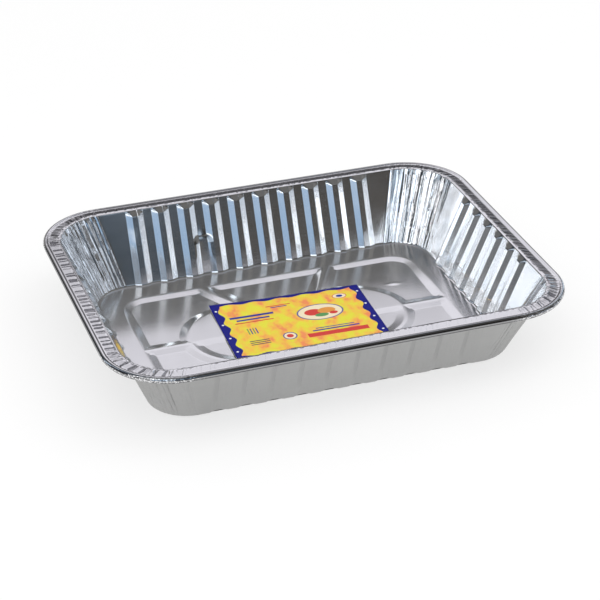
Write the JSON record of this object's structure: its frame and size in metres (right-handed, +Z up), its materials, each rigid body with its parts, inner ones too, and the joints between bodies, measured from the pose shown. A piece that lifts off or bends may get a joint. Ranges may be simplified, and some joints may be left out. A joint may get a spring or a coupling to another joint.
{
  "type": "foil tray",
  "caption": "Rectangular aluminium foil tray with fluted walls, gathered corners, a rolled rim and an embossed base; a printed card lies loose in it.",
  "frame": {"origin": "on the table under the middle of the tray", "axes": "+X along the tray's length, +Y to its back, +Z up"},
  "size_m": [0.32, 0.25, 0.0525],
  "materials": {
    "foil": "bright rolled foil, creased at the corners",
    "card": "coated card with a printed design"
  },
  "bodies": {
    "root": {"tray": "foil", "label_card": "card"}
  },
  "joints": []
}
